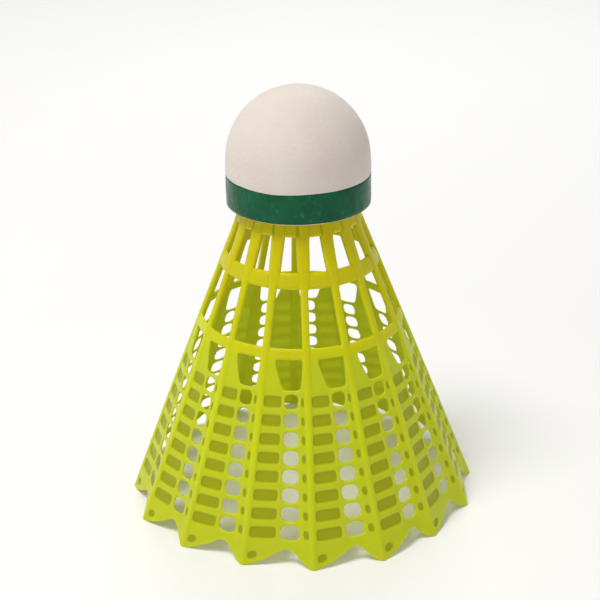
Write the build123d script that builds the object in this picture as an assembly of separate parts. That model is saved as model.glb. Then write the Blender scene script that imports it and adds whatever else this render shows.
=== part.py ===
from build123d import *

import os
from math import atan, cos, degrees, radians, sin

# Badminton shuttlecock with a one-piece moulded nylon skirt, standing on the tips of its vanes
# with the head up. Millimetres, +Z up along the axis. The origin is on the axis, in the plane of
# the tips. Angles are measured about +Z from the -Y direction, turning towards +X.

# ---- Skirt, stacked from the tips upwards: each is a height along Z ----
TIP_DEPTH = 4.2  # from the tips to the lowest rib of the mesh
ROW_COUNT = 8  # rows of cells in the mesh
ROW_PITCH = 3.175
LOW_WINDOW = 5.4  # tapered windows between the mesh and the lower hoop
LOWER_HOOP = 2.0
MID_WINDOW = 9.6  # open windows between the hoops
UPPER_HOOP = 3.0
TOP_WINDOW = 5.8  # open windows between the upper hoop and the collar
COLLAR = 2.9

# ---- Skirt, radii and sections ----
VANE_COUNT = 16
TIP_RADIUS = 33.5  # to the outer faces of the stems, at the tips
NECK_RADIUS = 10.6  # to the outer faces of the stems, under the head
STEM_NECK_WIDTH = 2.4  # under the head
STEM_NECK_DEPTH = 1.5
STEM_HOOP_WIDTH = 1.45  # at the foot of the upper hoop
STEM_HOOP_DEPTH = 1.15
STEM_TIP_WIDTH = 1.15
STEM_TIP_DEPTH = 0.75
WEB_INSET = 0.25  # the mesh lies this far under the stems' outer faces
WEB_THICKNESS = 0.45
PANEL_THICKNESS = 0.18  # the film that closes the vanes between their ribs
HOOP_INSET = 0.12
UPPER_HOOP_DEPTH = 1.0
LOWER_HOOP_DEPTH = 0.75
COLLAR_WALL = 1.3
FLANGE_THICKNESS = 1.0  # the flat plate of the skirt that bears on the head
PLUG_RADIUS = 7.0  # the hollow stud that is glued into the head
PLUG_WALL = 0.9
PLUG_LENGTH = 8.5
PLUG_CHAMFER = 0.5

# ---- Mesh between two stems: shares of the pitch, from one stem's centre to the next ----
WIDE_COLUMN = (0.0, 0.46)  # thin panels of the vane's wide half, beside its stem
OPEN_COLUMN = (0.52, 0.79)  # open holes between this vane and the next
NARROW_COLUMN = (0.85, 0.94)  # thin panels of the next vane's narrow half
NOTCH_SHARE = 0.63  # where the rim is notched deepest
LOW_WINDOW_TOP = (0.30, 0.88)
LOW_WINDOW_FOOT = (0.48, 0.82)
WIDE_RIB = 1.1  # height of the bar between two panels or holes
OPEN_RIB = 0.6
NARROW_RIB = 1.6
CELL_MARGIN = 0.15  # web left along the stem's side
LOWEST_BAR = 0.55  # web left between the lowest cells and the rim notches
PETAL_BULGE = 0.3  # how far each side of a petal's tip bows outwards
TIP_CELL_WIDTH = 1.7  # the small panel beside each stem, in the petal's tip
TIP_CELL_HEIGHT = 1.2
TIP_CELL_RISE = 1.7  # from the tip to the foot of that panel

# ---- Head ----
HEAD_RADIUS = 13.2  # over the leather
HEAD_SIDE = 8.5  # straight side; a hemisphere stands on it
COVER_THICKNESS = 0.4
HEM_WIDTH = 2.0  # how far the leather turns in under the base
SOCKET_RELIEF = 1.0  # air between the plug and the moulded nose
GLUE_GAP = 0.05

# ---- Band ----
BAND_WIDTH = 5.6
BAND_THICKNESS = 0.08
BAND_RISE = 0.25  # leather left bare between the base and the band
LAP_ANGLE = 22.0  # where the tape's end lies over its start
LAP_START = 130.0

# ---- Heights that follow ----
MESH_FOOT_Z = TIP_DEPTH
MESH_TOP_Z = MESH_FOOT_Z + ROW_COUNT * ROW_PITCH
LOWER_HOOP_Z = MESH_TOP_Z + LOW_WINDOW
MID_WINDOW_Z = LOWER_HOOP_Z + LOWER_HOOP
UPPER_HOOP_Z = MID_WINDOW_Z + MID_WINDOW
TOP_WINDOW_Z = UPPER_HOOP_Z + UPPER_HOOP
COLLAR_Z = TOP_WINDOW_Z + TOP_WINDOW
HEAD_Z = COLLAR_Z + COLLAR
SHOULDER_Z = HEAD_Z + HEAD_SIDE
CORK_TOP_Z = HEAD_Z + PLUG_LENGTH + SOCKET_RELIEF  # natural cork ring below, moulded nose above

SLOPE = (TIP_RADIUS - NECK_RADIUS) / HEAD_Z
HALF_ANGLE = atan(SLOPE)
PITCH_ANGLE = 360 / VANE_COUNT
OVERCUT = 3.0  # how far a cutting tool runs past what it cuts


def radius(z, depth=0.0):
    """Radius at height z of the cone that lies this deep under the stems' outer faces."""
    return TIP_RADIUS - SLOPE * z - depth / cos(HALF_ANGLE)


def tangent_plane(angle, z, depth):
    """Plane on the cone: x runs around the skirt, y up along the cone, z outwards."""
    a = radians(angle)
    outward = Vector(sin(a), -cos(a), 0)
    r = radius(z, depth)
    normal = outward * cos(HALF_ANGLE) + Vector(0, 0, sin(HALF_ANGLE))
    return Plane(
        origin=(r * sin(a), -r * cos(a), z),
        x_dir=(cos(a), sin(a), 0),
        z_dir=normal,
    )


def around(shape, turn=0.0):
    """The shape repeated once for each vane."""
    return [Rot(0, 0, turn + i * PITCH_ANGLE) * shape for i in range(VANE_COUNT)]


def revolved(*points):
    """Solid of revolution about the axis, from a closed outline of (radius, z) points."""
    outline = [(r, 0, z) for r, z in points]
    return revolve(make_face(Polyline(*outline, close=True)), Axis.Z)


def cone_ring(z_low, z_high, inset, depth):
    """Ring of conical wall between two heights, this far under the stems' outer faces."""
    return revolved(
        (radius(z_low, inset + depth), z_low),
        (radius(z_low, inset), z_low),
        (radius(z_high, inset), z_high),
        (radius(z_high, inset + depth), z_high),
    )


def cylinder(r, low, high):
    """Upright cylinder on the axis, between two heights."""
    return Pos(0, 0, low) * Cylinder(r, high - low, align=(Align.CENTER, Align.CENTER, Align.MIN))


# ---- Skirt ----
def stem():
    """Stem along the cone, widening to the head and running on below the tips."""
    sections = []
    for z, width, depth in (
        (-OVERCUT, STEM_TIP_WIDTH, STEM_TIP_DEPTH),
        (UPPER_HOOP_Z, STEM_HOOP_WIDTH, STEM_HOOP_DEPTH),
        (HEAD_Z, STEM_NECK_WIDTH, STEM_NECK_DEPTH),
    ):
        on_cone = tangent_plane(0, z, 0)
        # x runs around the skirt, y inwards from the stem's outer face
        across = Plane(origin=on_cone.origin, x_dir=on_cone.x_dir, z_dir=on_cone.y_dir)
        sections.append(across * Pos(0, depth / 2) * Rectangle(width, depth))
    return loft(sections, ruled=True)


def stem_share(z):
    """Share of the pitch taken by half a stem and the margin beside it, at height z."""
    width = STEM_TIP_WIDTH + (STEM_HOOP_WIDTH - STEM_TIP_WIDTH) * z / UPPER_HOOP_Z
    return width_share(width / 2 + CELL_MARGIN, z)


def width_share(width, z):
    """Share of the pitch that a width takes around the web at height z."""
    return degrees(width / radius(z, WEB_INSET)) / PITCH_ANGLE


def on_web(corners, angle, z):
    """Points (share of the pitch, height) as x, y on the plane that touches the web there."""
    points = []
    for share, height in corners:
        turn = radians(share * PITCH_ANGLE - angle)
        points.append((radius(height, WEB_INSET) * sin(turn), (height - z) / cos(HALF_ANGLE)))
    return points


def cell(left, right, low, high):
    """Cutting tool for one four-sided cell; left and right are shares at the foot and the top."""
    angle = PITCH_ANGLE * (left[0] + right[0] + left[1] + right[1]) / 4
    z = (low + high) / 2
    corners = [(left[0], low), (right[0], low), (right[1], high), (left[1], high)]
    face = make_face(Polyline(*on_web(corners, angle, z), close=True))
    return extrude(tangent_plane(angle, z, WEB_INSET) * face, OVERCUT / 2, both=True)


def mesh_cells():
    """Cutting tools between one stem and the next: the through holes, and the thin panels."""
    holes, panels = [], []
    for row in range(ROW_COUNT):
        foot = MESH_FOOT_Z + row * ROW_PITCH
        for (start, end), rib, tools in (
            (WIDE_COLUMN, WIDE_RIB, panels),
            (OPEN_COLUMN, OPEN_RIB, holes),
            (NARROW_COLUMN, NARROW_RIB, panels),
        ):
            low = foot + rib / 2
            high = foot + ROW_PITCH - rib / 2
            lefts = [max(start, stem_share(z)) for z in (low, high)]
            rights = [min(end, 1 - stem_share(z)) for z in (low, high)]
            tools.append(cell(lefts, rights, low, high))
    lefts, rights = zip(LOW_WINDOW_FOOT, LOW_WINDOW_TOP)
    holes.append(cell(lefts, rights, MESH_TOP_Z + OPEN_RIB / 2, LOWER_HOOP_Z))
    low = TIP_CELL_RISE
    high = low + TIP_CELL_HEIGHT
    start = stem_share(low)
    end = start + width_share(TIP_CELL_WIDTH, high)
    panels.append(cell((start, start), (start + (end - start) / 3, end), low, high))
    film = cone_ring(0, LOWER_HOOP_Z, WEB_INSET + WEB_THICKNESS - PANEL_THICKNESS, OVERCUT)
    return holes + [panel - film for panel in panels]


def bowed_middle(first, second):
    """Middle of a petal's side, bowed out towards the notch."""
    return (first[0] + second[0]) / 2, (first[1] + second[1]) / 2 - PETAL_BULGE


def rim_notch():
    """Cutting tool for the notch between two petals, with a bowed side towards each."""
    angle = NOTCH_SHARE * PITCH_ANGLE
    top = MESH_FOOT_Z - LOWEST_BAR
    start, end = stem_share(0), 1 - stem_share(0)
    corners = [(start, 0), (NOTCH_SHARE, top), (end, 0), (end, -OVERCUT), (start, -OVERCUT)]
    left, peak, right, right_foot, left_foot = on_web(corners, angle, 0)
    edges = [
        ThreePointArc(left, bowed_middle(left, peak), peak),
        ThreePointArc(peak, bowed_middle(peak, right), right),
        Polyline(right, right_foot, left_foot, left),
    ]
    return extrude(tangent_plane(angle, 0, WEB_INSET) * make_face(edges), OVERCUT, both=True)


def nylon_skirt():
    """The whole moulding: mesh, stems, hoops, collar, flange and hollow plug."""
    web = cone_ring(0, LOWER_HOOP_Z + LOWER_HOOP / 2, WEB_INSET, WEB_THICKNESS)
    hoops = [
        cone_ring(LOWER_HOOP_Z, MID_WINDOW_Z, HOOP_INSET, LOWER_HOOP_DEPTH),
        cone_ring(UPPER_HOOP_Z, TOP_WINDOW_Z, HOOP_INSET, UPPER_HOOP_DEPTH),
    ]
    flange_z = HEAD_Z - FLANGE_THICKNESS
    plug_bore = PLUG_RADIUS - PLUG_WALL
    plug_top = HEAD_Z + PLUG_LENGTH
    collar = revolved(
        (radius(COLLAR_Z, COLLAR_WALL), COLLAR_Z),
        (radius(COLLAR_Z), COLLAR_Z),
        (radius(HEAD_Z), HEAD_Z),
        (PLUG_RADIUS, HEAD_Z),
        (PLUG_RADIUS, plug_top - PLUG_CHAMFER),
        (PLUG_RADIUS - PLUG_CHAMFER, plug_top),
        (plug_bore, plug_top),
        (plug_bore, flange_z),
        (radius(flange_z, COLLAR_WALL), flange_z),
    )
    tools = [cylinder(2 * TIP_RADIUS, -2 * OVERCUT, 0)]
    for tool in mesh_cells() + [rim_notch()]:
        tools += around(tool)
    return web + hoops + [collar] + around(stem()) - tools


# ---- Head ----
def solid_head(depth, foot):
    """Cylinder and hemisphere of the head, this deep under the leather's face."""
    r = HEAD_RADIUS - depth
    crown = SHOULDER_Z + r
    middle = (r * cos(radians(45)), 0, SHOULDER_Z + r * sin(radians(45)))
    outline = [
        Line((0, 0, foot), (r, 0, foot)),
        Line((r, 0, foot), (r, 0, SHOULDER_Z)),
        ThreePointArc((r, 0, SHOULDER_Z), middle, (0, 0, crown)),
        Line((0, 0, crown), (0, 0, foot)),
    ]
    return revolve(make_face(outline), Axis.Z)


def cork_base():
    """Natural cork ring with the socket for the plug and a relief for the leather's hem."""
    body = solid_head(COVER_THICKNESS, HEAD_Z) & cylinder(2 * HEAD_RADIUS, HEAD_Z, CORK_TOP_Z)
    hem = cylinder(2 * HEAD_RADIUS, HEAD_Z, HEAD_Z + COVER_THICKNESS)
    hem -= cylinder(HEAD_RADIUS - HEM_WIDTH, HEAD_Z, HEAD_Z + COVER_THICKNESS)
    socket = cylinder(PLUG_RADIUS + GLUE_GAP, HEAD_Z, CORK_TOP_Z)
    return body - hem - socket


def cork_nose():
    """Moulded cork dome on top of the ring."""
    above = cylinder(2 * HEAD_RADIUS, CORK_TOP_Z, SHOULDER_Z + HEAD_RADIUS)
    return solid_head(COVER_THICKNESS, HEAD_Z) & above


def head_cover():
    """Leather skin over the dome and the side, turned in under the base."""
    skin = solid_head(0, HEAD_Z) - solid_head(COVER_THICKNESS, HEAD_Z + COVER_THICKNESS)
    return skin - cylinder(HEAD_RADIUS - HEM_WIDTH, HEAD_Z, HEAD_Z + COVER_THICKNESS)


def speed_band():
    """Tape round the foot of the head, its end lapped over its start."""
    low = HEAD_Z + BAND_RISE
    high = low + BAND_WIDTH
    outer = HEAD_RADIUS + BAND_THICKNESS
    band = cylinder(outer, low, high) - cylinder(HEAD_RADIUS, low, high)
    lap = Rectangle(BAND_THICKNESS, BAND_WIDTH, align=(Align.MIN, Align.MIN))
    lap = Plane(origin=(outer, 0, low), x_dir=(1, 0, 0), z_dir=(0, -1, 0)) * lap
    return band + Rot(0, 0, LAP_START - 90) * revolve(lap, Axis.Z, LAP_ANGLE)


NODES = {
    "nylon_skirt": nylon_skirt,
    "cork_base": cork_base,
    "cork_nose": cork_nose,
    "head_cover": head_cover,
    "speed_band": speed_band,
}

os.makedirs("parts", exist_ok=True)
for name, build in NODES.items():
    shape = build()
    export_step(shape, f"parts/{name}.step")
    print(name, type(shape).__name__, len(shape.solids()), round(shape.volume, 1), "mm3")
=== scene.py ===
# Badminton shuttlecock: the looks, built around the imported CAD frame.
# Sizes are in millimetres and turned into metres where a mesh is made. Angles are measured about
# +Z from the -Y direction, turning towards +X, as in the CAD.
import math
import random

import bpy
from mathutils import Matrix, Vector, noise


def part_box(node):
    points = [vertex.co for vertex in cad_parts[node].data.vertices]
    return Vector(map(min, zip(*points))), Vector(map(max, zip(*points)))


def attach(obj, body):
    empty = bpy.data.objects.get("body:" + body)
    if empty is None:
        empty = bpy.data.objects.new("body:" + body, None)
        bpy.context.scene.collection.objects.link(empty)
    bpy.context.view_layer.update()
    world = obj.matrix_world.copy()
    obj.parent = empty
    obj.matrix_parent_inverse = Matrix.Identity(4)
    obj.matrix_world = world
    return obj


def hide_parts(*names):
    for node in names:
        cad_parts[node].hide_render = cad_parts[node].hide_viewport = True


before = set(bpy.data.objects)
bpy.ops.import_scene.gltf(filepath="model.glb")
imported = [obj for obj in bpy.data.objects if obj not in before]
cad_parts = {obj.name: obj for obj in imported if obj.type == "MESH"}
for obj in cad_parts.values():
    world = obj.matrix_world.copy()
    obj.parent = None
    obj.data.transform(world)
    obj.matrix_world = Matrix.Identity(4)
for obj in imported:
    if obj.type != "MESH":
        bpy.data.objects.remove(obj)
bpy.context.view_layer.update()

MM = 0.001


def node_box(node):
    """Lowest and highest corners of a CAD node, in millimetres."""
    return tuple(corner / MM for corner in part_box(node))


# ---- Sizes read from the frame ----
SKIRT_HIGH = node_box("nylon_skirt")[1]
COVER_LOW, COVER_HIGH = node_box("head_cover")
BAND_LOW, BAND_HIGH = node_box("speed_band")
CORK_HIGH = node_box("cork_base")[1]
TIP_RADIUS = SKIRT_HIGH.x
PLUG_TOP_Z = SKIRT_HIGH.z
HEAD_Z = COVER_LOW.z
CROWN_Z = COVER_HIGH.z
HEAD_RADIUS = COVER_HIGH.x
CORK_RADIUS = CORK_HIGH.x
COVER_THICKNESS = HEAD_RADIUS - CORK_RADIUS
BAND_LOW_Z = BAND_LOW.z
BAND_HIGH_Z = BAND_HIGH.z
BAND_THICKNESS = -BAND_LOW.x - HEAD_RADIUS

# ---- Skirt: the design's own values ----
VANE_COUNT = 16
NECK_RADIUS = 10.6
TIP_DEPTH = 4.2
ROW_COUNT = 8
ROW_PITCH = 3.175
LOW_WINDOW = 5.4
LOWER_HOOP = 2.0
MID_WINDOW = 9.6
UPPER_HOOP = 3.0
TOP_WINDOW = 5.8
MESH_TOP_Z = TIP_DEPTH + ROW_COUNT * ROW_PITCH
LOWER_HOOP_Z = MESH_TOP_Z + LOW_WINDOW
MID_WINDOW_Z = LOWER_HOOP_Z + LOWER_HOOP
UPPER_HOOP_Z = MID_WINDOW_Z + MID_WINDOW
TOP_WINDOW_Z = UPPER_HOOP_Z + UPPER_HOOP
COLLAR_Z = TOP_WINDOW_Z + TOP_WINDOW
COLLAR_WALL = 1.3
FLANGE_THICKNESS = 1.0
PLUG_RADIUS = 7.0
PLUG_BORE = 6.1
PLUG_CHAMFER = 0.5

SLOPE = (TIP_RADIUS - NECK_RADIUS) / HEAD_Z
TILT = math.cos(math.atan(SLOPE))
PITCH = math.tau / VANE_COUNT


def outer_radius(z):
    """Radius of the stems' outer faces at height z."""
    return TIP_RADIUS - SLOPE * z


def at(angle, radius, z):
    """Point in millimetres from its angle, radius and height."""
    return Vector((radius * math.sin(angle), -radius * math.cos(angle), z))


def smooth(value, low, high):
    """0 below low, 1 above high, and a smooth rise between them."""
    t = min(max((value - low) / (high - low), 0), 1)
    return t * t * (3 - 2 * t)


def along(value, *points):
    """Piecewise straight function through (value, result) points."""
    if value <= points[0][0]:
        return points[0][1]
    for (x0, y0), (x1, y1) in zip(points, points[1:]):
        if value <= x1:
            return y0 + (y1 - y0) * (value - x0) / (x1 - x0)
    return points[-1][1]


def new_piece(name, points, faces):
    """Mesh object from points in millimetres, riding on the one body."""
    mesh = bpy.data.meshes.new(name)
    mesh.from_pydata([p * MM for p in points], [], faces)
    mesh.validate()
    mesh.polygons.foreach_set("use_smooth", [True] * len(mesh.polygons))
    mesh.update()
    piece = bpy.data.objects.new(name, mesh)
    bpy.context.scene.collection.objects.link(piece)
    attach(piece, "root")
    return piece


# ---- Skirt ----
# The moulding is one closed surface: a grid up the outside, over the flange and the plug, and down
# the inside. The windows and the open holes are left out and walled, and the outside of the vanes'
# cells is sunk to a film. Subdivision rounds every bar.
STEM_SHOULDER = 0.6  # where the stem's face starts to round off, as a share of its half width
WIDE_END = 0.455  # shares of the pitch between one stem's centre and the next
OPEN_START = 0.508
OPEN_END = 0.808
NARROW_START = 0.86
NOTCH_SHARE = 0.65
WINDOW_LEFT = 0.27
WINDOW_RIGHT = 0.90
WIDE_BAR = 1.3  # heights of the bars between cells
OPEN_BAR = 0.75
NARROW_BAR = 1.7
WEB_INSET = 0.25
WEB_THICKNESS = 0.45
PANEL_THICKNESS = 0.18  # the film that closes a vane's cells
WEB_SHADE_LEVEL = 0.4  # how much painted shade the thin web gets, from 0 for a stem to 1 for the film
VALLEY_DEPTH = 1.0  # how far the mesh sinks between two stems, at the rim
NOTCH_Z = 3.7  # height of the notches between petals
PETAL_BOW = 1.4  # power of a petal's edge: 1 is straight, and more is flatter at the tip
OPEN_LEAN = 0.12  # how far the holes' left side moves left above the mesh, as a share of the pitch
WIDE_MIDDLE = 0.86  # where the column inside a wide cell runs, as a share of the way across it
RIM_BEAD = 0.08  # thicker edge of a petal
HOOP_INSET = 0.16
HOOP_LIP = 0.12  # how far a hoop reaches in past its own wall
LOWER_HOOP_WALL = 0.75
UPPER_HOOP_WALL = 1.0
STEM_ROUNDING = (0.05, 0.06)  # how far the outer and the inner corners of a stem are rounded off
WINDOW_FOOT_INSET = 0.22
WINDOW_FOOT_ROUNDING = 0.2

# How the mesh sinks between two stems: (share of the pitch, share of the depth)
VALLEY_SHAPE = ((0.06, 0), (0.455, 0.8), (0.65, 1), (0.80, 0.8), (0.95, 0))
# Left side of a wide cell's first column, in the petal's tip and above: (height, share of the way)
FIRST_COLUMN = ((2.6, 0.36), (3.7, 0.14))
# How much painted shade a stem gets, darker low down: (height, shade level), on the same scale as the
# web's
STEM_SHADE_LEVELS = ((3, 0.3), (22, 0.12), (LOWER_HOOP_Z, 0.05))
# Rows of a petal's tip, as shares of its height; the small panel stands on the third
TIP_ROWS = (0, 0.12, 0.26, 0.7)
TIP_PANEL_ROW = 2

# Columns of the grid, from one stem's centre to the next
COLUMNS = 12
COL_FOOT, COL_WIDE_END, COL_OPEN, COL_NARROW, COL_NEXT_FOOT = 2, 5, 6, 9, 10
STEM_FACE = (0, 1, 11)
STEM_SHOULDERS = (1, 11)
STEM_FEET = (2, 10)
HOLE_COLUMNS = (6, 7, 8)
NARROW_COLUMNS = (9, 10)
WIDE_COLUMNS = (2, 3, 4)

# Set of each petal as it came out of the mould and the tube: lowest and highest, in millimetres
PETAL_SEED = 5
PETAL_OUT = (-0.45, 0.3)
PETAL_SIDEWAYS = (-0.3, 0.3)
PETAL_TWIST = (-0.35, 0.35)


def stem_half(z):
    """Half the stem's width at height z."""
    return along(z, (0, 0.6), (UPPER_HOOP_Z, 0.75), (TOP_WINDOW_Z, 1.2), (HEAD_Z, 1.4))


def stem_depth(z):
    """The stem's depth from its outer face to its inner one."""
    return along(z, (0, 0.75), (UPPER_HOOP_Z, 1.15), (HEAD_Z, 1.5))


def column_share(column, z):
    """Where a grid column runs at height z, as a share of the pitch."""
    half = stem_half(z) / (outer_radius(z) * PITCH)
    above_mesh = smooth(z, MESH_TOP_Z, LOWER_HOOP_Z)
    wide_end = WIDE_END + (WINDOW_LEFT - WIDE_END) * above_mesh
    narrow = NARROW_START + (WINDOW_RIGHT - NARROW_START) * above_mesh
    open_start = OPEN_START - OPEN_LEAN * above_mesh
    shares = {
        0: 0.0,
        1: STEM_SHOULDER * half,
        2: half,
        3: half + (wide_end - half) * along(z, *FIRST_COLUMN),
        4: half + (wide_end - half) * WIDE_MIDDLE,
        5: wide_end,
        6: open_start,
        7: (open_start + OPEN_END) / 2,
        8: OPEN_END,
        9: narrow,
        10: 1 - half,
        11: 1 - STEM_SHOULDER * half,
    }
    return shares[column]


def bar_half(column):
    """Half the height of a mesh bar where this column crosses it."""
    if column in HOLE_COLUMNS:
        return OPEN_BAR / 2
    if column in NARROW_COLUMNS:
        return NARROW_BAR / 2
    return WIDE_BAR / 2


def rim_height(column):
    """Height of the petals' edge at this column."""
    half = stem_half(0) / (TIP_RADIUS * PITCH)
    share = column_share(column, 0)
    if share <= NOTCH_SHARE:
        reach = max(share - half, 0) / (NOTCH_SHARE - half)
    else:
        reach = max(1 - half - share, 0) / (1 - half - NOTCH_SHARE)
    return NOTCH_Z * reach**PETAL_BOW


def make_levels():
    """The grid's rows from the rim to the head: (kind, height by column)."""
    levels = []
    for part in TIP_ROWS:
        def tip(column, part=part):
            low, high = rim_height(column), TIP_DEPTH - bar_half(column)
            return low + (high - low) * part
        levels.append(("tip", tip))
    for row in range(ROW_COUNT + 1):
        z = TIP_DEPTH + row * ROW_PITCH
        levels.append(("bar", lambda column, z=z: z - bar_half(column)))
        above = "cell" if row < ROW_COUNT else "low"
        levels.append((above, lambda column, z=z: z + bar_half(column)))
    for kind, heights in (
        ("low", (MESH_TOP_Z + 2.0, MESH_TOP_Z + 3.8, LOWER_HOOP_Z - 0.5)),
        ("hoop", (LOWER_HOOP_Z, LOWER_HOOP_Z + LOWER_HOOP / 2)),
        ("window", (MID_WINDOW_Z, MID_WINDOW_Z + 0.8, MID_WINDOW_Z + 3.4)),
        ("window", (MID_WINDOW_Z + 6.2, UPPER_HOOP_Z - 0.8)),
        ("hoop", (UPPER_HOOP_Z, UPPER_HOOP_Z + UPPER_HOOP / 2)),
        ("window", (TOP_WINDOW_Z, TOP_WINDOW_Z + 0.7, TOP_WINDOW_Z + TOP_WINDOW / 2, COLLAR_Z - 0.7)),
        ("collar", (COLLAR_Z, COLLAR_Z + 0.4, HEAD_Z - 0.35, HEAD_Z - 0.06)),
    ):
        levels += [(kind, lambda column, z=z: z) for z in heights]
    return levels


def is_open(levels, level, column):
    """True if the quad above this level and right of this column is a window or an open hole."""
    kind = levels[level][0]
    if kind == "window":
        return COL_FOOT <= column < COL_NEXT_FOOT
    if kind == "low":
        return COL_WIDE_END <= column < COL_NARROW
    return kind == "cell" and column in (COL_OPEN, COL_OPEN + 1)


def is_panel(levels, level, column):
    """True if that quad is closed by a film, sunk under the ribs round it."""
    kind = levels[level][0]
    if kind == "tip":
        return level == TIP_PANEL_ROW and column == COL_FOOT
    return kind == "cell" and column in (*WIDE_COLUMNS, COL_NARROW)


def depths(kind, column, z):
    """How deep the outer and the inner faces lie under the stems' outer faces."""
    share = column_share(column, z)
    fade = max(1 - z / LOWER_HOOP_Z, 0)
    across = along(share, *VALLEY_SHAPE)
    valley = VALLEY_DEPTH * fade * across
    web = WEB_INSET + WEB_THICKNESS
    stem = stem_depth(z)
    if kind == "collar":
        return 0.0, max(stem, COLLAR_WALL) if column in STEM_FACE else COLLAR_WALL
    if kind == "hoop":
        wall = LOWER_HOOP_WALL if z < UPPER_HOOP_Z - 1 else UPPER_HOOP_WALL
        if column in STEM_FACE:
            return 0.0, max(stem, wall + HOOP_LIP)
        return HOOP_INSET, wall + HOOP_LIP
    if column == 0:
        return 0.0, stem
    if column in STEM_SHOULDERS:
        return STEM_ROUNDING[0], stem - STEM_ROUNDING[1]
    if column in STEM_FEET:
        if kind == "window":
            return WINDOW_FOOT_INSET, max(stem - WINDOW_FOOT_ROUNDING, web)
        return WEB_INSET, web
    bead = RIM_BEAD if kind == "tip" and z < rim_height(column) + 0.3 else 0
    return WEB_INSET + valley - bead, web + valley + bead


def petal_warps(seed):
    """The petals' small set, as (in or out, sideways, twist) for each."""
    draw = random.Random(seed)
    spans = (PETAL_OUT, PETAL_SIDEWAYS, PETAL_TWIST)
    return [tuple(draw.uniform(*span) for span in spans) for _ in range(VANE_COUNT)]


PETAL_WARPS = petal_warps(PETAL_SEED)


def skirt_point(sector, column, kind, z, inner):
    """One point of the grid, with the petals' small warps."""
    share = column_share(column, z)
    depth = depths(kind, column, z)[1 if inner else 0]
    here, after = PETAL_WARPS[sector], PETAL_WARPS[(sector + 1) % VANE_COUNT]
    mix = smooth(share, 0.5, 0.8)
    loose = max(1 - z / MESH_TOP_Z, 0) ** 2
    out = (here[0] * (1 - mix) + after[0] * mix) * loose
    sideways = (here[1] * (1 - mix) + after[1] * mix) * loose
    twist = (here[2] * share * (1 - mix) + after[2] * (share - 1) * mix) * loose
    radius = outer_radius(z) - depth / TILT + out + twist
    angle = (sector + share) * PITCH + sideways / radius
    return at(angle, radius, z)


def skirt_profile():
    """Rows over the top of the collar: the flange, the plug and down its bore, as (radius, z)."""
    flange_z = HEAD_Z - FLANGE_THICKNESS
    collar_inner = outer_radius(flange_z) - COLLAR_WALL / TILT
    return [
        (outer_radius(HEAD_Z) - 0.1, HEAD_Z),
        (outer_radius(HEAD_Z) - 0.5, HEAD_Z),
        (PLUG_RADIUS + 0.3, HEAD_Z),
        (PLUG_RADIUS, HEAD_Z + 0.05),
        (PLUG_RADIUS, HEAD_Z + 0.5),
        (PLUG_RADIUS, PLUG_TOP_Z - PLUG_CHAMFER - 0.2),
        (PLUG_RADIUS - 0.05, PLUG_TOP_Z - PLUG_CHAMFER + 0.1),
        (PLUG_RADIUS - PLUG_CHAMFER, PLUG_TOP_Z),
        (PLUG_BORE + 0.06, PLUG_TOP_Z),
        (PLUG_BORE, PLUG_TOP_Z - 0.1),
        (PLUG_BORE, flange_z + 0.5),
        (PLUG_BORE + 0.05, flange_z + 0.08),
        (PLUG_BORE + 0.25, flange_z),
        (collar_inner - 0.5, flange_z),
        (collar_inner - 0.05, flange_z - 0.08),
    ]


def build_skirt():
    """The nylon moulding."""
    levels = make_levels()
    around = VANE_COUNT * COLUMNS
    points, faces, shade_levels = [], [], []
    for inner in (False, True):
        for kind, height in levels:
            for g in range(around):
                sector, column = divmod(g, COLUMNS)
                points.append(skirt_point(sector, column, kind, height(column), inner))
                web = kind in ("tip", "bar", "cell", "low") and column not in STEM_FACE
                stem_shade_level = along(height(column), *STEM_SHADE_LEVELS)
                shade_levels.append(WEB_SHADE_LEVEL if web else stem_shade_level)
    count = len(levels)

    def index(level, g, inner=False):
        return (level + (count if inner else 0)) * around + g % around

    profile_start = len(points)
    profile = skirt_profile()
    for radius, z in profile:
        for g in range(around):
            sector, column = divmod(g, COLUMNS)
            points.append(at((sector + column_share(column, HEAD_Z)) * PITCH, radius, z))

    film, film_start = {}, len(points)

    def sunk(level, g):
        """Corner of a panel's film, under the grid's own point."""
        spot = (level, g % around)
        if spot not in film:
            film[spot] = len(points)
            share = 1 - PANEL_THICKNESS / WEB_THICKNESS
            points.append(points[index(*spot)].lerp(points[index(*spot, True)], share))
        return film[spot]

    for level in range(count - 1):
        for g in range(around):
            column = g % COLUMNS
            if is_open(levels, level, column):
                continue
            corners = ((level, g), (level, g + 1), (level + 1, g + 1), (level + 1, g))
            panel = is_panel(levels, level, column)
            faces.append(tuple((sunk if panel else index)(*corner) for corner in corners))
            faces.append(tuple(index(*corner, True) for corner in reversed(corners)))
            beyond = ((level - 1, g), (level, g + 1), (level + 1, g), (level, g - 1))
            for first, second, (row, side) in zip(corners, corners[1:] + corners[:1], beyond):
                side %= COLUMNS
                if row < 0 or (row < count - 1 and is_open(levels, row, side)):
                    inner_edge = (index(*first, True), index(*second, True))
                    faces.append((index(*second), index(*first), *inner_edge))
                elif panel and not is_panel(levels, row, side):
                    faces.append((index(*first), index(*second), sunk(*second), sunk(*first)))

    def over_top(step, g):
        """Point of the skin that runs from the collar's outside, over the plug, to its inside."""
        if step == 0:
            return index(count - 1, g)
        if step == len(profile) + 1:
            return index(count - 1, g, True)
        return profile_start + (step - 1) * around + g % around

    for step in range(len(profile) + 1):
        for g in range(around):
            lower = (over_top(step, g), over_top(step, g + 1))
            faces.append((*lower, over_top(step + 1, g + 1), over_top(step + 1, g)))
    skirt = new_piece("skirt_moulding", points, faces)
    # Painted shade mask: the web, the stems low down and most of all the cells' film are painted darker in
    # the nylon, for the dim inside seen through them.
    painted_shade = skirt.data.attributes.new("painted_shade", "FLOAT", "POINT")
    painted_shade.data.foreach_set("value", shade_levels + [0.0] * (film_start - profile_start) + [1.0] * len(film))
    rounding = skirt.modifiers.new("rounding", "SUBSURF")
    rounding.levels = rounding.render_levels = 1
    return skirt


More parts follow.
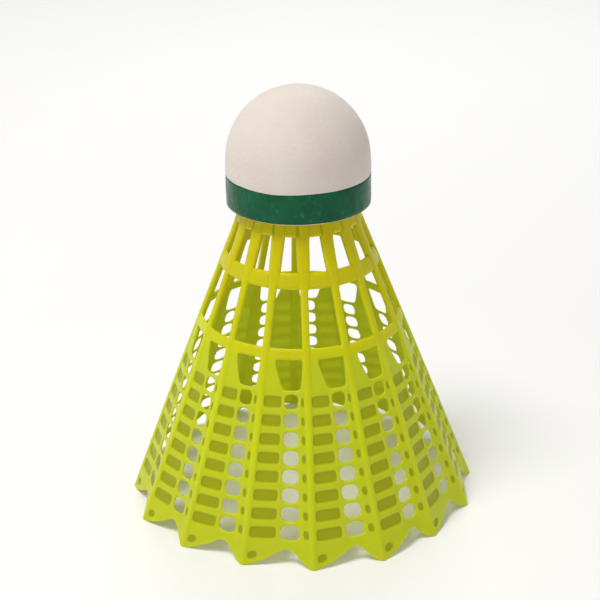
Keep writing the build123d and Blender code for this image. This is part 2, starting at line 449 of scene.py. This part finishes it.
# ---- Head cover ----
def lathe(outline, segments, shape):
    """Closed ring of quads from a closed outline of (radius, z).

    shape(angle, radius, z) gives the radius and height that a point is moved to.
    """
    points, faces = [], []
    for i in range(segments):
        angle = math.tau * i / segments
        for radius, z in outline:
            points.append(at(angle, *shape(angle, radius, z)))
    n = len(outline)
    for i in range(segments):
        j = (i + 1) % segments
        for k in range(n):
            m = (k + 1) % n
            faces.append((i * n + k, j * n + k, j * n + m, i * n + m))
    return points, faces


POLE_RADIUS = 0.004  # the outer and the inner skin meet here, at the crown
COVER_SEGMENTS = 144
HEM_WIDTH = 2.0
FOOT_ROUNDING = 0.45  # radius at the foot of the head
SIDE_STEPS = 13
DOME_STEPS = 44
INNER_STEPS = 12
INNER_START = 0.004  # how far from the pole the inner dome starts, in radians
SWELL = 0.13  # how far the leather stands out just above the tape
SWELL_ABOVE_BAND = 1.1
SWELL_REACH = 1.3
LUMP = 0.05  # unevenness of the leather
PLEAT_COUNT = 26
PLEAT_DEPTH = 0.07


def build_cover():
    """Leather over the cork, swollen just above the tape, with its pleated hem turned under the base."""
    shoulder = CROWN_Z - HEAD_RADIUS
    edge = FOOT_ROUNDING
    hem_inner = HEAD_RADIUS - HEM_WIDTH
    outline = [
        (hem_inner, HEAD_Z + COVER_THICKNESS - 0.02),
        (hem_inner, HEAD_Z + 0.1),
        (hem_inner + 0.1, HEAD_Z),
    ]
    for i in range(7):
        turn = math.radians(15 * i)
        outline.append(
            (HEAD_RADIUS - edge + edge * math.sin(turn), HEAD_Z + edge - edge * math.cos(turn))
        )
    for i in range(1, SIDE_STEPS):
        outline.append((HEAD_RADIUS, HEAD_Z + edge + (shoulder - HEAD_Z - edge) * i / SIDE_STEPS))
    for i in range(DOME_STEPS):
        turn = math.radians(90) * i / DOME_STEPS
        outline.append((HEAD_RADIUS * math.cos(turn), shoulder + HEAD_RADIUS * math.sin(turn)))
    outline.append((POLE_RADIUS, CROWN_Z))
    inner_radius = HEAD_RADIUS - COVER_THICKNESS
    outline.append((POLE_RADIUS, CROWN_Z - COVER_THICKNESS))
    for i in range(INNER_STEPS):
        turn = math.radians(90) * (1 - i / INNER_STEPS) - INNER_START
        outline.append((inner_radius * math.cos(turn), shoulder + inner_radius * math.sin(turn)))
    outline.append((inner_radius, HEAD_Z + COVER_THICKNESS))

    def shape(angle, radius, z):
        direction = at(angle, 1, 0)
        lump = noise.noise(direction * 1.3 + Vector((0, 0, z * 0.09)))
        if radius > inner_radius + 0.05 or z > shoulder:
            swell = SWELL * math.exp(-(((z - BAND_HIGH_Z - SWELL_ABOVE_BAND) / SWELL_REACH) ** 2))
            radius += swell + LUMP * lump * smooth(radius, 0, 4)
        if z < HEAD_Z + 0.3 and radius < HEAD_RADIUS - 0.3:
            pleat = math.sin(PLEAT_COUNT * angle + 3 * noise.noise(direction * 2.0))
            z += PLEAT_DEPTH * (1 + pleat) * smooth(HEAD_RADIUS - radius, 0.3, 1.2)
        return radius, z

    points, faces = lathe(outline, COVER_SEGMENTS, shape)
    return new_piece("cover_skin", points, faces)


# ---- Band ----
BAND_START = math.radians(128)
BAND_LAP = math.radians(22)
BAND_STEPS = 300
BAND_ROWS = 14
BAND_EDGE = 0.03  # how far the tape's inner face stops short of its edges
BAND_EDGE_SHARE = 0.65  # how thick its edges are, as a share of the tape
LIFT_LENGTH = math.radians(5)  # over which the end climbs on to the start
GLUE_GAP = 0.01  # between the head and the tape
CREASE = 0.12  # height of the tape's creases
BAND_WAVE = 0.025  # how far the tape wanders up and down, slowly and more slowly still
EDGE_WAVE = 0.06


def build_band():
    """One strip of tape wound round the head a little more than once, so its end laps its start."""
    width = BAND_HIGH_Z - BAND_LOW_Z
    outline = [(0.0, BAND_LOW_Z + BAND_EDGE)]
    for i in range(BAND_ROWS + 1):
        share = BAND_EDGE_SHARE if i in (0, BAND_ROWS) else 1.0
        outline.append((share, BAND_LOW_Z + width * (i / BAND_ROWS)))
    outline.append((0.0, BAND_HIGH_Z - BAND_EDGE))
    points, faces = [], []
    n = len(outline)
    for s in range(BAND_STEPS + 1):
        turn = (math.tau + BAND_LAP) * s / BAND_STEPS
        angle = BAND_START + turn
        lift = BAND_THICKNESS * smooth(turn, math.tau - LIFT_LENGTH, math.tau)
        for share, z in outline:
            place = at(angle, 1, 0)
            crease = noise.noise(place * 9 + Vector((0, 0, z * 0.25)))
            crease = max(crease - 0.1, 0) * CREASE
            wave = BAND_WAVE * noise.noise(place * 4)
            middle = 1 - abs(2 * (z - BAND_LOW_Z) / width - 1) ** 2
            radius = HEAD_RADIUS + GLUE_GAP + lift + share * BAND_THICKNESS + crease * middle * share
            edge_wave = EDGE_WAVE * noise.noise(place * 3 + Vector((5, 0, 0)))
            points.append(at(angle, radius, z + edge_wave + wave))
    for s in range(BAND_STEPS):
        for k in range(n):
            m = (k + 1) % n
            faces.append((s * n + k, (s + 1) * n + k, (s + 1) * n + m, s * n + m))
    faces.append(tuple(reversed(range(n))))
    faces.append(tuple(range(BAND_STEPS * n, BAND_STEPS * n + n)))
    return new_piece("tape_band", points, faces)


# ---- Materials ----
NYLON_LOW = (0.56, 0.625, 0.004)
NYLON_HIGH = (0.55, 0.465, 0.001)
NYLON_CLOUD = (0.50, 0.53, 0.004)
# Painted shade on the nylon: a darker colour for the thin web and a much darker one for the cells' film.
NYLON_WEB_SHADE = (0.49, 0.54, 0.012)
# Painted shade: the cells' film is coloured dark olive for the dim, shaded inside seen through it.
NYLON_FILM_SHADE = (0.27, 0.29, 0.002)
NYLON_GLOW = (0.55, 0.6, 0.0, 1)
TONE_RISE = (0.026, 0.052)  # heights in metres between which the nylon turns from low to high
LEATHER_PALE = (0.73, 0.665, 0.59)
LEATHER_PINK = (0.68, 0.59, 0.55)
LEATHER_PORE = (0.68, 0.59, 0.54)
TAPE_DARK = (0.001, 0.075, 0.028)
TAPE_LIGHT = (0.002, 0.11, 0.045)
TAPE_WEAR_AND_GLINT = (0.008, 0.22, 0.11)
# Cork of a node: light grains, dark grains, and the grains' scale
CORKS = {
    "cork_base": ((0.52, 0.33, 0.17), (0.20, 0.10, 0.045), 900),
    "cork_nose": ((0.47, 0.29, 0.15), (0.16, 0.08, 0.035), 1400),
}


class Paint:
    """A material's node tree with short calls for the nodes used here."""

    def __init__(self, name):
        self.material = bpy.data.materials.new(name)
        self.material.use_nodes = True
        self.tree = self.material.node_tree
        self.shader = self.tree.nodes["Principled BSDF"]
        self.coords = self.node("ShaderNodeTexCoord").outputs["Object"]

    def node(self, kind, **values):
        made = self.tree.nodes.new(kind)
        for key, value in values.items():
            setattr(made, key, value)
        return made

    def link(self, source, target):
        self.tree.links.new(source, target)

    def set(self, **values):
        for key, value in values.items():
            self.shader.inputs[key.replace("_", " ")].default_value = value

    def noise(self, scale, detail=3.0, roughness=0.5, distortion=0.0, stretch=None):
        made = self.node("ShaderNodeTexNoise")
        made.inputs["Scale"].default_value = scale
        made.inputs["Detail"].default_value = detail
        made.inputs["Roughness"].default_value = roughness
        made.inputs["Distortion"].default_value = distortion
        self.link(self.scaled(stretch) if stretch else self.coords, made.inputs["Vector"])
        return made.outputs["Fac"]

    def scaled(self, stretch):
        made = self.node("ShaderNodeMapping")
        made.inputs["Scale"].default_value = stretch
        self.link(self.coords, made.inputs["Vector"])
        return made.outputs["Vector"]

    def cells(self, scale, feature="F1"):
        made = self.node("ShaderNodeTexVoronoi", feature=feature)
        made.inputs["Scale"].default_value = scale
        self.link(self.coords, made.inputs["Vector"])
        return made.outputs["Distance"]

    def height(self):
        made = self.node("ShaderNodeSeparateXYZ")
        self.link(self.coords, made.inputs[0])
        return made.outputs["Z"]

    def spread(self, source, low, high, to_low=0.0, to_high=1.0):
        made = self.node("ShaderNodeMapRange")
        for key, value in (("From Min", low), ("From Max", high), ("To Min", to_low), ("To Max", to_high)):
            made.inputs[key].default_value = value
        self.link(source, made.inputs["Value"])
        return made.outputs["Result"]

    def blend(self, factor, first, second):
        """Mix of two colours, each a socket or three numbers."""
        made = self.node("ShaderNodeMix", data_type="RGBA")
        for key, value in (("A", first), ("B", second)):
            socket = next(s for s in made.inputs if s.name == key and s.type == "RGBA")
            if isinstance(value, tuple):
                socket.default_value = (*value, 1)
            else:
                self.link(value, socket)
        self.link(factor, made.inputs["Factor"])
        return next(s for s in made.outputs if s.type == "RGBA")

    def sum(self, first, second):
        made = self.node("ShaderNodeMath", operation="ADD")
        for socket, source in zip(made.inputs, (first, second)):
            self.link(source, socket)
        return made.outputs["Value"]

    def bump(self, source, distance, strength=1.0, after=None):
        made = self.node("ShaderNodeBump")
        made.inputs["Strength"].default_value = strength
        made.inputs["Distance"].default_value = distance
        self.link(source, made.inputs["Height"])
        if after:
            self.link(after, made.inputs["Normal"])
        return made.outputs["Normal"]

    def colour(self, source):
        self.link(source, self.shader.inputs["Base Color"])

    def roughness(self, source):
        self.link(source, self.shader.inputs["Roughness"])

    def normal(self, source):
        self.link(source, self.shader.inputs["Normal"])


def nylon():
    """Fluorescent yellow-green nylon: deeper and yellower where the moulding is thick, near the head. The
    thin web and the cells' film carry painted shade, and a small even emission is a painted glow.
    """
    p = Paint("skirt_nylon")
    p.set(IOR=1.53, Specular_IOR_Level=0.17, Subsurface_Weight=0.5, Subsurface_Scale=0.0012)
    # Painted glow: a small even emission, lit by no lamp, that keeps the nylon bright and saturated in its
    # shade.
    p.set(Emission_Color=NYLON_GLOW, Emission_Strength=0.08)
    p.shader.inputs["Subsurface Radius"].default_value = (1.0, 1.0, 0.25)
    patch = p.spread(p.noise(60, 2), 0.3, 0.7, -0.006, 0.006)
    rise = p.spread(p.sum(p.height(), patch), *TONE_RISE)
    tone = p.blend(rise, NYLON_LOW, NYLON_HIGH)
    cloud = p.spread(p.noise(420, 4), 0.35, 0.75, 0.0, 0.35)
    tone = p.blend(cloud, tone, NYLON_CLOUD)
    painted_shade = p.node("ShaderNodeAttribute", attribute_name="painted_shade").outputs["Fac"]
    # Painted shade: the web and the lower stems are darkened, then the cells' film much more, for the
    # shaded inside seen through the thin nylon.
    tone = p.blend(p.spread(painted_shade, 0.1, WEB_SHADE_LEVEL), tone, NYLON_WEB_SHADE)
    p.colour(p.blend(p.spread(painted_shade, WEB_SHADE_LEVEL + 0.05, 0.8), tone, NYLON_FILM_SHADE))
    p.roughness(p.spread(p.noise(900, 3), 0.3, 0.7, 0.28, 0.5))
    flow = p.bump(p.noise(160, 3, stretch=(1, 1, 0.25)), 0.00006, 0.6)
    p.normal(p.bump(p.noise(2600, 2), 0.00002, 0.5, flow))
    return p.material


def leather():
    """Off-white synthetic leather: fine pores, faint pink-grey shade and handling marks."""
    p = Paint("cover_leather")
    p.set(IOR=1.45, Sheen_Weight=0.08)
    blotch = p.spread(p.noise(70, 4, 0.6), 0.35, 0.7)
    tone = p.blend(blotch, LEATHER_PALE, LEATHER_PINK)
    pores = p.spread(p.cells(2000), 0.0, 0.5, 0.45, 1.0)
    tone = p.blend(pores, LEATHER_PORE, tone)
    p.colour(tone)
    p.roughness(p.spread(p.noise(300, 3), 0.3, 0.7, 0.55, 0.78))
    grain = p.bump(p.cells(1500, "SMOOTH_F1"), 0.0001, 0.6)
    p.normal(p.bump(p.noise(3500, 2), 0.00003, 0.5, grain))
    return p.material


def tape():
    """Glossy green tape with random lighter clouds and lighter specks, the specks partly wear and partly
    painted glints.
    """
    p = Paint("band_tape")
    p.set(IOR=1.5, Specular_IOR_Level=0.18)
    cloud = p.spread(p.noise(240, 4, 0.6), 0.35, 0.75)
    tone = p.blend(cloud, TAPE_DARK, TAPE_LIGHT)
    # Lighter teal specks: partly wear, partly painted glints.
    wear_and_glint_specks = p.spread(p.noise(1100, 3, 0.7), 0.58, 0.72, 0.0, 0.7)
    p.colour(p.blend(wear_and_glint_specks, tone, TAPE_WEAR_AND_GLINT))
    p.roughness(p.spread(p.noise(500, 3), 0.3, 0.7, 0.18, 0.38))
    wrinkle = p.bump(p.noise(260, 3, 0.6, 0.4, stretch=(1, 1, 0.35)), 0.00035, 0.5)
    p.normal(p.bump(p.noise(1800, 2), 0.00003, 0.4, wrinkle))
    return p.material


def cork(name, base, dark, grain_scale):
    """Cork: warm grains with dark lenticels."""
    p = Paint(name)
    p.set(IOR=1.4)
    grains = p.spread(p.cells(grain_scale), 0.0, 0.6)
    tone = p.blend(grains, dark, base)
    flecks = p.spread(p.noise(grain_scale * 1.4, 3, 0.7), 0.6, 0.7)
    p.colour(p.blend(flecks, tone, dark))
    p.roughness(p.spread(p.noise(400, 2), 0.3, 0.7, 0.75, 0.95))
    p.normal(p.bump(p.cells(grain_scale), 0.0002, 0.6))
    return p.material


def dress(piece, material):
    """Gives a piece its material."""
    piece.data.materials.clear()
    piece.data.materials.append(material)


def build_object():
    """Every piece of the shuttlecock, with its material."""
    skirt = build_skirt()
    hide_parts("nylon_skirt")
    dress(skirt, nylon())
    cover = build_cover()
    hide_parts("head_cover")
    dress(cover, leather())
    band = build_band()
    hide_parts("speed_band")
    dress(band, tape())
    for node, (light, dark, scale) in CORKS.items():
        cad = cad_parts[node]
        cad.data.materials.clear()
        cad.data.materials.append(cork(node, light, dark, scale))


# ---- Stage ----
CAMERA_DISTANCE = 277.0  # from the axis, along the floor
CAMERA_HEIGHT = 157.6
CAMERA_TURN = math.radians(-3.06)
CAMERA_ROLL = math.radians(0.75)
AIM_Z = 38.5
LENS = 96.0
FLOOR_HALF = 3000
FLOOR_TONES = (0.93, 0.93, 0.93), (0.95, 0.95, 0.95)
# Distances in metres over which the floor's glow rises, and its strength near and far
GLOW_REACH = (0.1, 0.9)
GLOW_STRENGTH = (0.05, 0.5)
# Upward part of the direction over which the surroundings' light falls, and its two strengths
SKY_REACH = (0.0, 0.55)
SKY_LIGHT = (0.75, 0.34)
KEY_PLACE, KEY_SIZE, KEY_POWER, KEY_COLOUR = (-175, -110, 510), 200, 1.8, (1.0, 0.98, 0.94)
BACK_PLACE, BACK_SIZE, BACK_POWER, BACK_COLOUR = (60, 380, 360), 260, 0.5, (1, 1, 1)


def build_camera():
    """Close view from a little above, with one stem just right of the line of sight."""
    data = bpy.data.cameras.new("camera")
    data.lens = LENS
    data.sensor_width = 36.0
    data.clip_start = 0.01
    camera = bpy.data.objects.new("camera", data)
    camera.location = at(CAMERA_TURN, CAMERA_DISTANCE, CAMERA_HEIGHT) * MM
    aim = Vector((0, 0, AIM_Z)) * MM - camera.location
    camera.rotation_mode = "QUATERNION"
    camera.rotation_quaternion = (
        aim.to_track_quat("-Z", "Y") @ Matrix.Rotation(-CAMERA_ROLL, 3, "Z").to_quaternion()
    )
    bpy.context.scene.collection.objects.link(camera)
    bpy.context.scene.camera = camera


def area_light(name, place, size, power, colour):
    """Soft square lamp aimed at the middle of the object; place is in millimetres."""
    data = bpy.data.lights.new(name, "AREA")
    data.shape = "SQUARE"
    data.size = size * MM
    data.energy = power
    data.color = colour
    lamp = bpy.data.objects.new(name, data)
    lamp.location = Vector(place) * MM
    lamp.rotation_mode = "QUATERNION"
    lamp.rotation_quaternion = (Vector((0, 0, AIM_Z)) * MM - lamp.location).to_track_quat("-Z", "Y")
    bpy.context.scene.collection.objects.link(lamp)


def build_stage():
    """Pale floor, pale surroundings and soft lamps."""
    half = FLOOR_HALF * MM
    corners = [(-half, -half, 0), (half, -half, 0), (half, half, 0), (-half, half, 0)]
    mesh = bpy.data.meshes.new("floor")
    mesh.from_pydata(corners, [], [(0, 1, 2, 3)])
    floor = bpy.data.objects.new("floor", mesh)
    bpy.context.scene.collection.objects.link(floor)
    pale = Paint("floor_pale")
    pale.set(IOR=1.45)
    pale.colour(pale.blend(pale.noise(3, 2), *FLOOR_TONES))
    pale.roughness(pale.spread(pale.noise(20, 2), 0.3, 0.7, 0.6, 0.7))
    pale.set(Emission_Color=(1, 1, 1, 1))
    away = pale.node("ShaderNodeVectorMath", operation="LENGTH")
    pale.link(pale.coords, away.inputs[0])
    glow = pale.spread(away.outputs["Value"], *GLOW_REACH, *GLOW_STRENGTH)
    pale.link(glow, pale.shader.inputs["Emission Strength"])
    mesh.materials.append(pale.material)

    world = bpy.data.worlds.new("surroundings")
    world.use_nodes = True
    tree = world.node_tree
    direction = tree.nodes.new("ShaderNodeTexCoord")
    height = tree.nodes.new("ShaderNodeSeparateXYZ")
    shade = tree.nodes.new("ShaderNodeMapRange")
    shade.interpolation_type = "SMOOTHSTEP"
    keys = ("From Min", "From Max", "To Min", "To Max")
    for key, value in zip(keys, (*SKY_REACH, *SKY_LIGHT)):
        shade.inputs[key].default_value = value
    tree.links.new(direction.outputs["Generated"], height.inputs[0])
    tree.links.new(height.outputs["Z"], shade.inputs["Value"])
    tree.links.new(shade.outputs["Result"], tree.nodes["Background"].inputs["Color"])
    bpy.context.scene.world = world

    area_light("key", KEY_PLACE, KEY_SIZE, KEY_POWER, KEY_COLOUR)
    area_light("back", BACK_PLACE, BACK_SIZE, BACK_POWER, BACK_COLOUR)
    bpy.context.scene.view_settings.view_transform = "Standard"


build_object()
build_camera()
build_stage()
